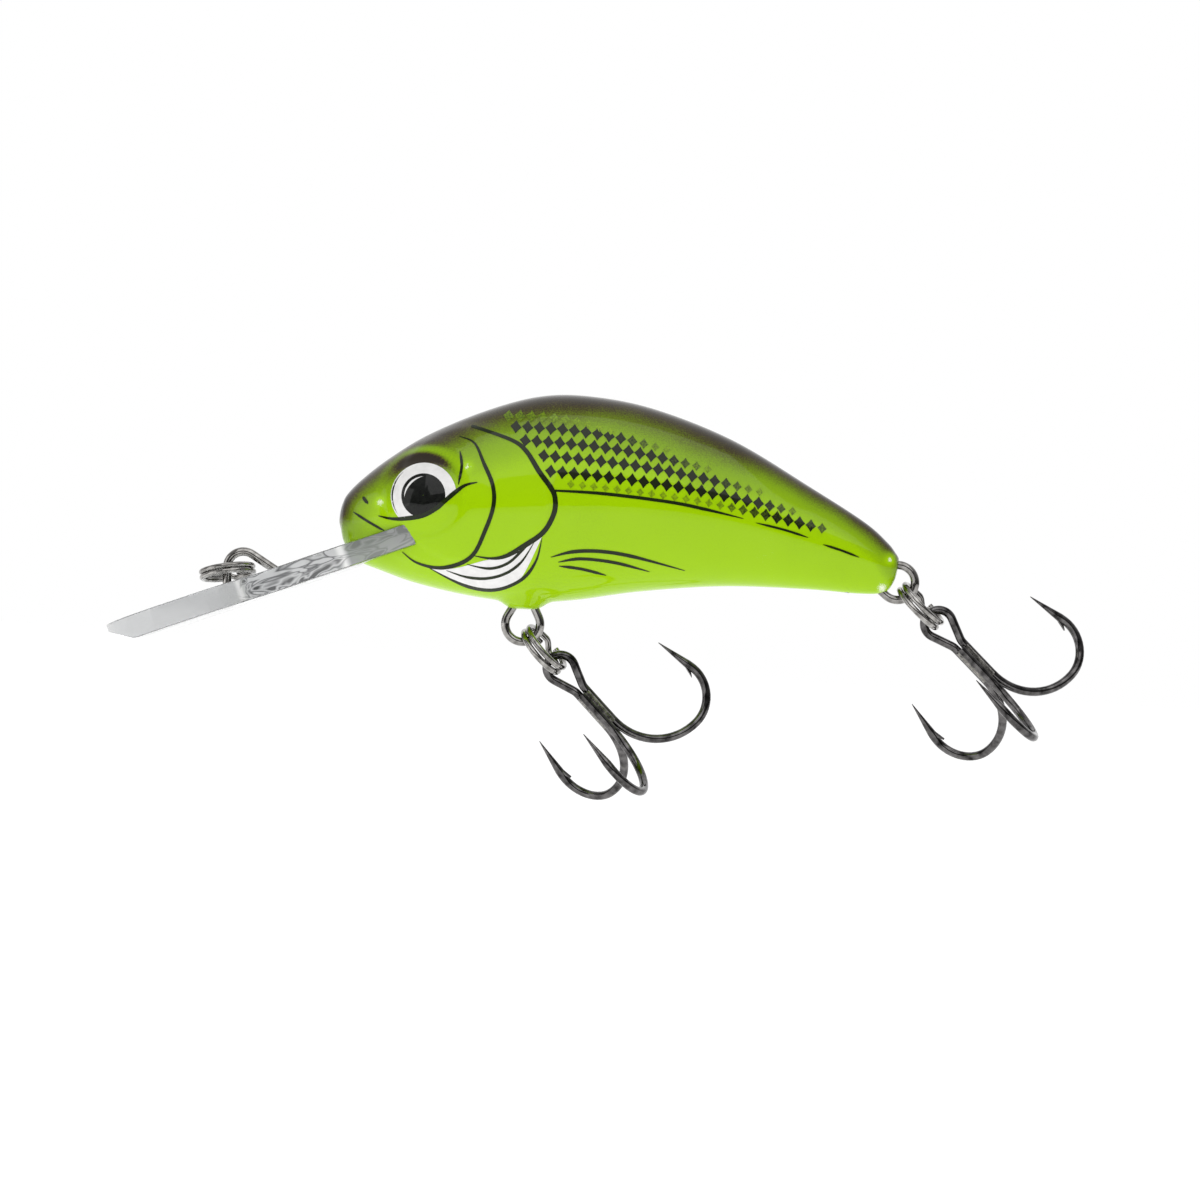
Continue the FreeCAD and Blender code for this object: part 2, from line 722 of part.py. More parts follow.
def shell_cuts():
    """Slots, grooves and cells that pass through both shells' middle plane."""
    wide = size("body_width")
    gap = size("fit_gap")
    wire = size("loop_wire") / 2 + gap
    cuts = []
    slot = primitive("Box", "lip_slot", {
        "Length": "Sizes.lip_length + Sizes.fit_gap",
        "Width": "Sizes.body_width * 3",
        "Height": "Sizes.lip_thickness + 2 * Sizes.fit_gap",
    })
    corner = Vector(-gap, -1.5 * wide, -size("lip_thickness") - gap)
    slot.Placement = lip_place().multiply(FreeCAD.Placement(corner, FreeCAD.Rotation()))
    cuts.append(slot)
    cuts.append(shaped("wire_groove", round_wire(line_tie_edges(), wire)))
    for name, loop, angle in HANGERS:
        cuts.append(shaped(name + "_groove", round_wire(hanger_edges(loop(), angle), wire)))
    cuts.append(across("ballast_bore", ballast_centre(), size("ballast_diameter") / 2 + gap,
                       size("ballast_length") / 2 + gap))
    for number in range(len(BALLS)):
        cuts.append(shaped("rattle_cell", Part.makeCylinder(
            size("ball_diameter") / 2 + size("loose_gap"), cell_length(),
            in_plane(cell_start(number), cell_height()), Vector(1, 0, 0))))
    return cuts


def eye_dome(outside, side):
    """A low dome on the cheek, under the painted eye."""
    radius = size("eye_radius")
    bulge = size("eye_bulge") + size("eye_root")
    sphere = (radius ** 2 + bulge ** 2) / (2 * bulge)
    line = Part.makeLine(eye_centre(), eye_centre() + Vector(0, side * 30, 0))
    cheek = outside.common(line).Length
    depth = cheek + size("eye_bulge") - sphere
    return Part.makeSphere(sphere, eye_centre() + Vector(0, side * depth, 0))


def belly_boss():
    """The small block that the belly hanger's loop comes out of."""
    loop = belly_loop()
    width = size("boss_width")
    low = belly_z(loop.x) - size("boss_drop")
    block = Part.makeBox(width, width, size("shell_wall") + size("boss_drop"),
                         Vector(loop.x - width / 2, -width / 2, low))
    upright = [edge for edge in block.Edges if abs(edge.tangentAt(0).z) > 0.9]
    return block.makeFillet(size("boss_round"), upright)


def make_shells():
    """Left and right half shells, welded along the middle plane."""
    blocks = shell_insides()
    cuts = shell_cuts()
    doc.recompute()
    inside = blocks[0].Shape.fuse([block.Shape for block in blocks[1:]])
    reach = size("body_length") + 20
    shells = []
    for name, side in BODY_HALVES:
        start = Vector(-10, 0 if side == RIGHT else -reach, -reach / 2)
        keep = Part.makeBox(reach + 10, reach, reach, start)
        outside = body_solid(0, side).common(keep)
        skin = outside.cut(body_solid(size("shell_wall"), side))
        trimmed = inside.common(outside)
        half = skin.fuse([trimmed, belly_boss().common(keep), eye_dome(outside, side).common(keep)])
        half = half.cut([cut.Shape for cut in cuts])
        for centre in pin_centres():
            radius = size("pin_radius") + (size("fit_gap") if side == RIGHT else 0)
            length = size("pin_length") + (size("fit_gap") if side == RIGHT else 0)
            pin = Part.makeCylinder(radius, length, centre, Vector(0, 1, 0))
            half = half.cut(pin) if side == RIGHT else half.fuse(pin)
        shells.append(shaped(name, half))
    return shells


def build():
    pieces = make_shells()
    pieces.append(make_lip())
    pieces.append(make_line_tie())
    pieces += [make_hanger(name, loop(), angle) for name, loop, angle in HANGERS]
    pieces.append(make_ballast())
    pieces += make_balls()
    pieces.append(make_line_tie_ring())
    for chain in CHAINS:
        pieces.append(make_hook_ring(chain))
        pieces += make_treble(chain)
    doc.recompute()
    return pieces


def write(pieces):
    """Check every object and every piece, then write one file for each piece."""
    for thing in doc.Objects:
        if "Invalid" in thing.State or "Error" in thing.State:
            raise RuntimeError("%s failed: %s" % (thing.Name, thing.State))
    for piece in pieces:
        if piece.Shape.isNull() or not piece.Shape.isValid():
            raise RuntimeError("%s has no valid shape" % piece.Label)
    os.makedirs("parts", exist_ok=True)
    for piece in pieces:
        piece.Label = piece.Name
        piece.Shape.exportStep("parts/%s.step" % piece.Label)
        print("%-28s %8.2f mm3  %d solid(s)" % (
            piece.Label, piece.Shape.Volume, len(piece.Shape.Solids)))


write(build())
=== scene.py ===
import math

import bpy
from mathutils import Matrix, Vector


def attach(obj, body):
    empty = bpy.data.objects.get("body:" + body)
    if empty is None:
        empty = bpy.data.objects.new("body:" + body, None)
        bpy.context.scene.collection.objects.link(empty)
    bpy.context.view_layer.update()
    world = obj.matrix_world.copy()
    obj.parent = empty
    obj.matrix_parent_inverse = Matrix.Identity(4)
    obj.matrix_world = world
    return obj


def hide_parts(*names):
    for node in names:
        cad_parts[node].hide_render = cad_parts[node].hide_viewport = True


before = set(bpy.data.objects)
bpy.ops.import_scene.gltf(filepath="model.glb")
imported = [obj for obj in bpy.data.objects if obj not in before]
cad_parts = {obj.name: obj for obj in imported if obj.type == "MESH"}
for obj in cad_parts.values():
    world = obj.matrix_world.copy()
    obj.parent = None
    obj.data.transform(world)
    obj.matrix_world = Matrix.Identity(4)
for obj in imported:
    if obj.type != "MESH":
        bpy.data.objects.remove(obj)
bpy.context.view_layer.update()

MM = 0.001


# ---------------------------------------------------------------- the body
# A hollow fish-shaped body of two moulded ABS half shells, welded along the middle plane.
# It is dipped in a glossy clear coat over chartreuse paint, airbrushed dark along the back.
# The relief is moulded in: eye, cheek, gill cover and the boss at the belly hanger.

NOSE = 7.4 * MM
BODY_LENGTH = 45.0 * MM
AXIS = 4.4 * MM
BACK_RISE = 11.4 * MM
BELLY_DROP = 5.5 * MM
HALF_WIDTH = 5.3 * MM
RING_SIDES = 144
RINGS_PER_STATION = 14
CENTRE_STRIP = 0.2 * MM
SAME_RING = 0.0006 * MM

# distance behind the nose as a share of the length, then back, belly and half width
# as shares of their largest values
STATIONS = (
    (0.0007, 0.06, 0.05, 0.07),
    (0.004, 0.12, 0.13, 0.18),
    (0.012, 0.19, 0.33, 0.31),
    (0.036, 0.30, 0.56, 0.50),
    (0.080, 0.456, 0.69, 0.70),
    (0.147, 0.645, 0.84, 0.86),
    (0.245, 0.842, 0.965, 0.97),
    (0.340, 0.972, 1.00, 1.00),
    (0.430, 1.00, 0.91, 0.985),
    (0.545, 0.945, 0.715, 0.91),
    (0.690, 0.765, 0.55, 0.73),
    (0.835, 0.475, 0.50, 0.50),
    (0.935, 0.26, 0.505, 0.35),
    (0.978, 0.13, 0.46, 0.28),
    (0.994, 0.06, 0.30, 0.20),
    (0.9995, 0.03, 0.10, 0.08),
)

# how far the widest place lies above the axis, as a share of back rise less belly drop
WAIST = 0.42

EYE = Vector((14.2, 0, 6.75)) * MM
EYE_RADIUS = 2.7 * MM
EYE_DOME = 0.34 * MM
EYE_GROOVE = 0.16 * MM
GILL_CENTRE = Vector((18.2, 0, 7.2)) * MM
GILL_REACH = 6.3 * MM
GILL_STEP = 0.20 * MM
CHEEK_CENTRE = Vector((14.6, 0, 6.3)) * MM
CHEEK_REACH = 5.2 * MM
CHEEK_STEP = 0.14 * MM
STEP_INSIDE = 0.35 * MM
STEP_OUTSIDE = 0.15 * MM
BOSS_PLACE = 22.7 * MM
BOSS_DROP = 0.55 * MM
BOSS_TOP = 0.9 * MM
BOSS_FOOT = 2.3 * MM
# the fade's run (mm) where the paint is at its full green, and at a painted highlight
FULL_GREEN = 5.6
PAINTED_HIGHLIGHT_RUN = 7.4
# the arcs over the eye: a dark one, the airbrushed brow with painted shade in the groove around the
# dome, and a pale one, a painted highlight on the brow; change of the run, distance from the eye's
# middle and width, mm
BROW_ARCS = ((-3.6, 3.0, 0.42), (2.4, 3.75, 0.32))
BROW_MIDDLE = 88
BROW_SPREAD = 48
# painted highlights on the gloss in front of and over the eye and at the rounded tail: place in the
# side view and reach, mm
PAINTED_HIGHLIGHTS = ((10.75, 6.0, 0.5), (17.55, 9.35, 0.38), (51.6, 4.5, 0.45), (51.2, 2.2, 0.4))


def smooth(low, high, value):
    """0 below low, 1 above high, and an even S between them."""
    share = min(max((value - low) / (high - low), 0), 1)
    return share * share * (3 - 2 * share)


def through(points, share):
    """A point at a share of the way along a smooth line through the points."""
    place = share * (len(points) - 1)
    index = min(int(place), len(points) - 2)
    t = place - index
    ends = [points[min(max(index + step, 0), len(points) - 1)] for step in (-1, 0, 1, 2)]
    weights = (
        -0.5 * t + t * t - 0.5 * t ** 3,
        1 - 2.5 * t * t + 1.5 * t ** 3,
        0.5 * t + 2 * t * t - 1.5 * t ** 3,
        -0.5 * t * t + 0.5 * t ** 3,
    )
    return [sum(w * end[axis] for w, end in zip(weights, ends)) for axis in range(len(ends[0]))]


def start_piece():
    """Object mode with nothing selected, ready for a new primitive."""
    if bpy.context.object and bpy.context.object.mode != "OBJECT":
        bpy.ops.object.mode_set(mode="OBJECT")
    bpy.ops.object.select_all(action="DESELECT")


def settle(piece, name):
    """Names a finished piece and puts its place into its mesh."""
    start_piece()
    piece.select_set(True)
    bpy.context.view_layer.objects.active = piece
    bpy.ops.object.transform_apply(location=True, rotation=True, scale=True)
    piece.name = name
    piece.data.name = name
    return piece


def belong(piece, body, slot, *nodes):
    """The piece rides on a body and stands for CAD nodes, whose parts it hides; slot is not used.
    """
    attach(piece, body)
    if nodes:
        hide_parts(*nodes)


ring_count = (len(STATIONS) - 1) * RINGS_PER_STATION
rings = [through(STATIONS, number / ring_count) for number in range(ring_count + 1)]


def bump_at(distance, width):
    """1 at no distance, falling away evenly over the width."""
    return math.exp(-(distance / width) ** 2)


def inside(reach, distance):
    """1 within a raised round plate, 0 outside it, and a short slope at its edge."""
    return 1 - smooth(reach - STEP_INSIDE, reach + STEP_OUTSIDE, distance)


def relief(x, z):
    """How far the flank stands out at a place of the side view, in metres."""
    from_eye = math.hypot(x - EYE.x, z - EYE.z)
    dome = EYE_DOME * (1 - smooth(0.2 * EYE_RADIUS, 0.98 * EYE_RADIUS, from_eye))
    groove = EYE_GROOVE * bump_at(from_eye - 1.1 * EYE_RADIUS, 0.35 * MM)
    from_gill = math.hypot(x - GILL_CENTRE.x, (z - GILL_CENTRE.z) * 1.12)
    cover = GILL_STEP * inside(GILL_REACH, from_gill)
    from_cheek = math.hypot(x - CHEEK_CENTRE.x, z - CHEEK_CENTRE.z)
    cheek = CHEEK_STEP * inside(CHEEK_REACH, from_cheek)
    behind_nose = smooth(NOSE + 2 * MM, NOSE + 6 * MM, x)
    return dome - groove + (cover + cheek) * behind_nose


def airbrush_and_painted_light(x, z, from_back):
    """How far the dark back's fade has run at a place, in mm: 0 is dark, 7 is a painted highlight.

    It fades faster at the tail and nose, darkens in an arc over the eye, partly painted shade, and
    pales above that in a painted highlight; painted highlights also lie on the head and tail.
    """
    tail = smooth(NOSE + 0.62 * BODY_LENGTH, NOSE + 0.95 * BODY_LENGTH, x)
    nose = 1 - smooth(NOSE + 0.5 * MM, NOSE + 8 * MM, x)
    run = min(from_back * (1 + 1.5 * tail + 0.9 * nose), FULL_GREEN)
    reach = math.hypot(x - EYE.x, z - EYE.z) / MM
    angle = math.degrees(math.atan2(z - EYE.z, x - EYE.x))
    over_eye = bump_at(angle - BROW_MIDDLE, BROW_SPREAD)
    # painted shade in the groove over the eye along with the airbrushed brow, and a painted
    # highlight on the brow above it
    for change, distance, width in BROW_ARCS:
        run += change * over_eye * bump_at(reach - distance, width)
    # painted highlights: around each place the run is drawn up towards the palest tone
    for glint_x, glint_z, size in PAINTED_HIGHLIGHTS:
        near = math.hypot(x - glint_x * MM, z - glint_z * MM) / MM
        run += (PAINTED_HIGHLIGHT_RUN - run) * 0.9 * bump_at(near, size)
    return max(run, 0)


start_piece()
bpy.ops.mesh.primitive_circle_add(vertices=RING_SIDES, radius=MM, rotation=(0, math.pi / 2, 0))
body = settle(bpy.context.object, "painted_body")
bpy.ops.object.mode_set(mode="EDIT")
bpy.ops.mesh.select_all(action="SELECT")
bpy.ops.transform.translate(value=(NOSE + rings[0][0] * BODY_LENGTH, 0, 0))
for before, after in zip(rings, rings[1:]):
    step = (after[0] - before[0]) * BODY_LENGTH
    bpy.ops.mesh.extrude_region_move(TRANSFORM_OT_translate={"value": (step, 0, 0)})
bpy.ops.object.mode_set(mode="OBJECT")

ring_at = {round((NOSE + ring[0] * BODY_LENGTH) / MM, 3): ring for ring in rings}
ring_keys = sorted(ring_at)
back_line = [(NOSE + along * BODY_LENGTH, AXIS + BACK_RISE * back) for along, back, _, _ in rings]
depths = []
for vertex in body.data.vertices:
    key = min(ring_keys, key=lambda k: abs(k - vertex.co.x / MM))
    along, back, belly, wide = ring_at[key]
    rise, drop = BACK_RISE * back, BELLY_DROP * belly
    turn = math.atan2(vertex.co.y, vertex.co.z)
    waist = AXIS + WAIST * (rise - drop)
    reach = AXIS + rise - waist if math.cos(turn) > 0 else waist - AXIS + drop
    z = waist + reach * math.cos(turn)
    y = HALF_WIDTH * wide * math.sin(turn)
    facing = abs(math.sin(turn)) ** 0.5
    if abs(y) > CENTRE_STRIP:
        y += math.copysign(relief(vertex.co.x, z) * facing, y)
    under = max(-math.cos(turn), 0)
    from_boss = math.hypot(vertex.co.x - BOSS_PLACE, y)
    z -= BOSS_DROP * under * (1 - smooth(BOSS_TOP, BOSS_FOOT, from_boss))
    vertex.co.y, vertex.co.z = y, z
    near = [(edge - vertex.co.x) ** 2 + (top - z) ** 2 for edge, top in back_line]
    depths.append(airbrush_and_painted_light(vertex.co.x, z, math.sqrt(min(near)) / MM))
# from_back holds the fade's run together with the painted shade and painted highlights of the head
# and tail
from_back = body.data.attributes.new("from_back", "FLOAT", "POINT")
from_back.data.foreach_set("value", depths)

bpy.ops.object.mode_set(mode="EDIT")
bpy.ops.mesh.select_mode(type="VERT")
for end in (0, -1):
    bpy.ops.mesh.select_all(action="DESELECT")
    bpy.ops.object.mode_set(mode="OBJECT")
    end_x = ring_keys[end] * MM
    for vertex in body.data.vertices:
        vertex.select = abs(vertex.co.x - end_x) < SAME_RING
    bpy.ops.object.mode_set(mode="EDIT")
    bpy.ops.mesh.extrude_region_move(TRANSFORM_OT_translate={"value": (0, 0, 0)})
    bpy.ops.mesh.merge(type="CENTER")
bpy.ops.mesh.select_all(action="SELECT")
bpy.ops.mesh.normals_make_consistent(inside=False)
bpy.ops.object.mode_set(mode="OBJECT")
bpy.ops.object.shade_smooth()


def srgb(code):
    """A colour written as an sRGB hex value, in linear light."""
    parts = [int(code[i:i + 2], 16) / 255 for i in (1, 3, 5)]
    linear = [c / 12.92 if c <= 0.04045 else ((c + 0.055) / 1.055) ** 2.4 for c in parts]
    return (*linear, 1)


def new_material(name):
    """An empty material with its Principled shader, and its tree."""
    material = bpy.data.materials.new(name)
    material.use_nodes = True
    tree = material.node_tree
    return material, tree, tree.nodes["Principled BSDF"]


def add(tree, kind, settings=(), links=()):
    """Adds a node: settings are its properties or sockets, links bring sockets in."""
    node = tree.nodes.new("ShaderNode" + kind)
    for key, value in dict(settings).items():
        if isinstance(key, str) and hasattr(node, key):
            setattr(node, key, value)
        else:
            node.inputs[key].default_value = value
    for key, socket in dict(links).items():
        tree.links.new(socket, node.inputs[key])
    return node


def ramp(node, *stops):
    """Sets a colour ramp's stops: place and hex colour."""
    elements = node.color_ramp.elements
    while len(elements) > 2:
        elements.remove(elements[0])
    for number, (place, code) in enumerate(stops):
        stop = elements[number] if number < 2 else elements.new(place)
        stop.position = place
        stop.color = srgb(code)


def under_coat(shader):
    """A matt colour seen through the poured clear coat."""
    shader.inputs["Roughness"].default_value = 0.5
    shader.inputs["Specular IOR Level"].default_value = 0.02
    shader.inputs["Coat Weight"].default_value = 1.0
    shader.inputs["Coat Roughness"].default_value = 0.05
    shader.inputs["Coat IOR"].default_value = 1.3


# Airbrushed enamel under a poured clear coat: droplets a tenth of a millimetre wide make
# the fade on the back look dusty, and the coat over it stays smooth and wet.
# Painted highlights and painted shade over the eye come into this colour through from_back.
paint, tree, shader = new_material("airbrushed_abs_painted_light_clear_coat")
place = add(tree, "TexCoord").outputs["Object"]
depth = add(tree, "Attribute", {"attribute_name": "from_back"}).outputs["Fac"]
droplets = add(tree, "TexNoise", {"Scale": 1 / (0.09 * MM), "Detail": 2.0}, {"Vector": place})
drift = add(tree, "TexNoise", {"Scale": 1 / (5 * MM), "Detail": 1.0}, {"Vector": place})
spread = add(tree, "MapRange", {1: 0.3, 2: 0.7, 3: -0.45, 4: 0.45}, {0: droplets.outputs["Fac"]})
sway = add(tree, "MapRange", {1: 0.3, 2: 0.7, 3: -0.25, 4: 0.25}, {0: drift.outputs["Fac"]})
dusty = add(tree, "Math", {"operation": "ADD"}, {0: depth, 1: spread.outputs[0]})
height = add(tree, "Math", {"operation": "ADD"}, {0: dusty.outputs[0], 1: sway.outputs[0]})
share = add(tree, "MapRange", {1: 0.0, 2: 7.0}, {0: height.outputs[0]})
tone = add(tree, "ValToRGB", {}, {0: share.outputs[0]})
# the last, palest stop is the colour of the painted highlights
ramp(tone, (0.05, "#2E271F"), (0.13, "#433B1C"), (0.23, "#5F7012"), (0.40, "#7FA40C"),
     (0.62, "#8DB604"), (0.78, "#9AC600"), (0.88, "#9CC800"), (1.0, "#E8F0D4"))
tree.links.new(tone.outputs[0], shader.inputs["Base Color"])
waves = add(tree, "TexNoise", {"Scale": 1 / (3 * MM), "Detail": 1.0}, {"Vector": place})
skin = add(tree, "Bump", {"Strength": 0.05, "Distance": 0.1 * MM},
           {"Height": waves.outputs["Fac"]})
tree.links.new(skin.outputs[0], shader.inputs["Coat Normal"])
under_coat(shader)
body.data.materials.append(paint)
belong(body, "lure_body", "painted_abs", "left_shell", "right_shell")


# ---------------------------------------------------------------- the printed pattern
# Pad-printed ink on both flanks: gill, cheek and mouth lines, the lateral line and the fin
# strokes.  Each print is a thin film pressed onto the body under the coat.

INK = 0.03 * MM
FILM = 0.01 * MM
FAR_OUT = 20 * MM


def on_body(x, z, side, lift=INK):
    """The place on the flank at a point of the side view, raised by the film."""
    hit, place, normal, _ = body.ray_cast((x, side * FAR_OUT, z), (0, -side, 0))
    if not hit:
        _, place, normal, _ = body.closest_point_on_mesh((x, 0, z))
    return place + normal * lift


def film(name, point_at, along, across, lift=INK):
    """Grids bent to point_at(share along, share across) and pressed onto both flanks."""
    parts = []
    for side in (-1, 1):
        start_piece()
        bpy.ops.mesh.primitive_grid_add(x_subdivisions=along, y_subdivisions=across, size=1)
        part = bpy.context.object
        for vertex in part.data.vertices:
            x, z = point_at(vertex.co.x + 0.5, vertex.co.y + 0.5)
            vertex.co = on_body(x * MM, z * MM, side, lift)
        parts.append(part)
    return join(parts, name)


def join(parts, name):
    """One mesh from several, at the origin."""
    start_piece()
    for part in parts:
        part.select_set(True)
    bpy.context.view_layer.objects.active = parts[0]
    if len(parts) > 1:
        bpy.ops.object.join()
    return settle(parts[0], name)


def close_film(piece):
    """Gives a pressed film its thickness inwards and turns its faces outwards."""
    start_piece()
    piece.select_set(True)
    bpy.context.view_layer.objects.active = piece
    bpy.ops.object.mode_set(mode="EDIT")
    bpy.ops.mesh.select_all(action="SELECT")
    bpy.ops.mesh.remove_doubles(threshold=0.0005 * MM)
    bpy.ops.object.mode_set(mode="OBJECT")
    for face in piece.data.polygons:
        if face.normal.y * face.center.y < 0:
            face.flip()
    thicken = piece.modifiers.new("film", "SOLIDIFY")
    thicken.thickness = FILM
    thicken.offset = -1
    bpy.ops.object.modifier_apply(modifier=thicken.name)
    bpy.ops.object.shade_smooth_by_angle(angle=math.radians(50))
    return piece


def stroke(points, widest, head):
    """point_at for a brush line through the points, thinner towards both ends.

    head is the share of the width that the line starts with; it ends at THIN_END.
    """
    def point_at(share, across):
        x, z = through(points, share)
        ahead = through(points, min(share + 0.01, 1))
        behind = through(points, max(share - 0.01, 0))
        way = Vector((ahead[0] - behind[0], ahead[1] - behind[1])).normalized()
        swell = head + (1 - head) * share * 4
        taper = THIN_END + (1 - THIN_END) * (1 - share) * 4
        offset = (across - 0.5) * widest * min(swell, taper, 1)
        return x - way.y * offset, z + way.x * offset
    return point_at


# share of a line's width at a thin end
THIN_END = 0.15
# line, its points in the side view (mm), its greatest width
LINES = (
    ("cheek", ((16.6, 11.7), (17.9, 11.2), (18.8, 9.6), (19.6, 8.0), (19.8, 6.4), (19.3, 4.4),
               (18.3, 2.2), (16.2, 1.2), (14.1, 1.4), (12.8, 2.2)), 0.32),
    ("gill cover", ((17.5, 12.6), (20.7, 11.7), (22.0, 10.9), (23.2, 9.3), (24.2, 8.1),
                    (24.6, 7.3), (24.6, 6.1), (23.9, 4.6), (22.6, 3.5), (21.1, 2.5),
                    (19.9, 2.2), (18.6, 2.3)), 0.40),
    ("gill slit high", ((18.0, 1.6), (19.8, 1.4), (21.2, 1.9), (22.2, 2.9), (22.9, 3.7)), 0.22),
    ("gill slit low", ((16.4, 1.0), (18.0, 0.6), (19.6, 0.6), (21.1, 1.1), (22.3, 2.1),
                       (23.2, 3.7)), 0.22),
    ("crescent edge", ((15.0, 1.1), (16.8, 0.3), (18.4, -0.2), (20.0, -0.3), (21.4, 0.1),
                       (22.7, 1.0), (23.5, 2.4), (23.8, 4.1)), 0.26),
    ("lateral", ((24.5, 7.9), (28.4, 7.95), (33.6, 7.7), (36.5, 7.35), (39.6, 6.85)), 0.26),
    ("lateral dash fore", ((40.6, 6.6), (43.0, 6.2), (44.9, 5.75)), 0.18),
    ("lateral dash aft", ((46.1, 5.3), (47.6, 4.95), (49.1, 4.5)), 0.18),
    ("fin high", ((24.6, 2.65), (26.3, 3.2), (28.4, 3.4), (31.0, 3.2), (35.3, 2.4)), 0.28),
    ("fin middle", ((25.2, 2.3), (27.0, 2.7), (29.7, 2.6), (32.5, 2.1)), 0.24),
    ("fin low", ((25.3, 2.0), (27.1, 1.9), (29.1, 1.55)), 0.22),
    ("lower lid", ((10.7, 4.9), (12.1, 4.75), (14.1, 5.1), (15.3, 5.8), (16.0, 6.5),
                   (17.3, 7.7), (18.4, 8.1)), 0.36),
    ("crease", ((16.8, 10.5), (17.05, 9.3), (16.9, 7.8)), 0.22),
    ("nostril", ((9.3, 6.35), (9.5, 6.1), (9.8, 5.8)), 0.26),
    ("mouth", ((8.6, 5.1), (9.9, 4.4), (11.4, 3.7)), 0.2),
)
FULL_HEADS = ("lateral", "gill cover")
FULL_START = 0.6
lines = []
for name, points, width in LINES:
    head = FULL_START if name in FULL_HEADS else THIN_END
    lines.append(film(name.replace(" ", "_"), stroke(points, width, head), 64, 2))
dark_lines = close_film(join(lines, "printed_lines"))

# Solvent ink: a flat near-black green that lets the paint's grain show a little.
ink, tree, shader = new_material("pad_printed_dark_ink")
place = add(tree, "TexCoord").outputs["Object"]
grain = add(tree, "TexNoise", {"Scale": 1 / (0.1 * MM), "Detail": 2.0}, {"Vector": place})
tone = add(tree, "ValToRGB", {}, {0: grain.outputs["Fac"]})
ramp(tone, (0.3, "#141B0B"), (0.8, "#232E10"))
tree.links.new(tone.outputs[0], shader.inputs["Base Color"])
under_coat(shader)
dark_lines.data.materials.append(ink)
belong(dark_lines, "lure_body", "painted_abs")


PATCH_TOP = ((15.2, 1.15), (17.0, 1.2), (19.4, 2.0), (21.2, 2.5), (22.8, 3.6), (23.8, 4.5))
PATCH_FOOT = ((15.2, 1.05), (16.9, 0.35), (18.6, -0.15), (20.2, -0.25), (22.2, 0.6), (23.8, 4.2))


def crescent_at(share, across):
    """The pale gill patch, between the gill cover and its lower edge."""
    upper = through(PATCH_TOP, share)
    lower = through(PATCH_FOOT, share)
    return [upper[axis] * across + lower[axis] * (1 - across) for axis in (0, 1)]


gill_patch = close_film(film("gill_patch", crescent_at, 60, 12, 0.6 * INK))
# White ink, a touch greyer where it was pressed out thin, so that it isn't a flat white.
white, tree, shader = new_material("pad_printed_white_ink")
place = add(tree, "TexCoord").outputs["Object"]
grain = add(tree, "TexNoise", {"Scale": 1 / (0.6 * MM), "Detail": 3.0}, {"Vector": place})
tone = add(tree, "ValToRGB", {}, {0: grain.outputs["Fac"]})
ramp(tone, (0.25, "#DAD9D8"), (0.7, "#E8E7E6"))
tree.links.new(tone.outputs[0], shader.inputs["Base Color"])
under_coat(shader)
gill_patch.data.materials.append(white)
belong(gill_patch, "lure_body", "painted_abs")


# ---------------------------------------------------------------- the printed scales
# Five strong rows of notched diamonds and a faint one above them, printed with the lines.
# They get smaller and paler towards the back, the tail and the ends of the rows.

SCALE_PITCH = 0.90
SCALE_WIDE = 0.92
SCALE_TALL = 1.08
SCALE_SLANT = 0.08
ROW_BOW = 0.45
# start and end of each row in the side view (mm), where it begins to fade, its strength;
# the lowest row is the other way round and gathers strength towards the tail
SCALE_ROWS = (
    ((20.4, 13.6), (29.5, 12.75), 0.0, 0.35),
    ((20.6, 12.75), (33.6, 11.75), 0.60, 0.95),
    ((21.9, 11.7), (37.4, 10.4), 0.66, 1.0),
    ((23.0, 10.6), (41.2, 9.0), 0.72, 1.0),
    ((24.1, 9.4), (44.4, 7.6), 0.80, 1.0),
    ((25.3, 8.5), (46.4, 6.5), -0.90, 0.85),
)
DIAMOND = ((-0.5, 0), (-0.22, 0.23), (0, 0.5), (0.22, 0.23), (0.5, 0), (0.22, -0.23),
           (0, -0.5), (-0.22, -0.23))

corners, faces, strengths = [], [], []
for side in (-1, 1):
    for row, (start, end, fade_from, strength) in enumerate(SCALE_ROWS):
        length = math.dist(start, end)
        count = int(length / SCALE_PITCH)
        for number in range(count):
            share = (number + 0.5 * (row % 2)) / count
            bow = ROW_BOW * math.sin(math.pi * share)
            x = start[0] + (end[0] - start[0]) * share
            z = start[1] + (end[1] - start[1]) * share + bow
            if fade_from < 0:
                left = 0.15 + 0.85 * smooth(0.5, 0.85, share) - 0.5 * smooth(-fade_from, 1.0, share)
            else:
                left = 1 - 0.85 * smooth(fade_from, 1.0, share)
            wide = SCALE_WIDE * (0.6 + 0.4 * left)
            tall = SCALE_TALL * (0.55 + 0.45 * left)
            first = len(corners)
            corners.append(on_body(x * MM, z * MM, side))
            for dx, dz in DIAMOND:
                spot_x = x + dx * wide
                spot_z = z + dz * tall - dx * wide * SCALE_SLANT
                corners.append(on_body(spot_x * MM, spot_z * MM, side))
            strengths += [strength * left] * (len(DIAMOND) + 1)
            for corner in range(len(DIAMOND)):
                following = first + 1 + (corner + 1) % len(DIAMOND)
                faces.append((first, first + 1 + corner, following))
scale_mesh = bpy.data.meshes.new("printed_scales")
scale_mesh.from_pydata(corners, [], faces)
pressure = scale_mesh.attributes.new("pressure", "FLOAT", "POINT")
pressure.data.foreach_set("value", strengths)
scales = bpy.data.objects.new("printed_scales", scale_mesh)
bpy.context.scene.collection.objects.link(scales)
close_film(scales)

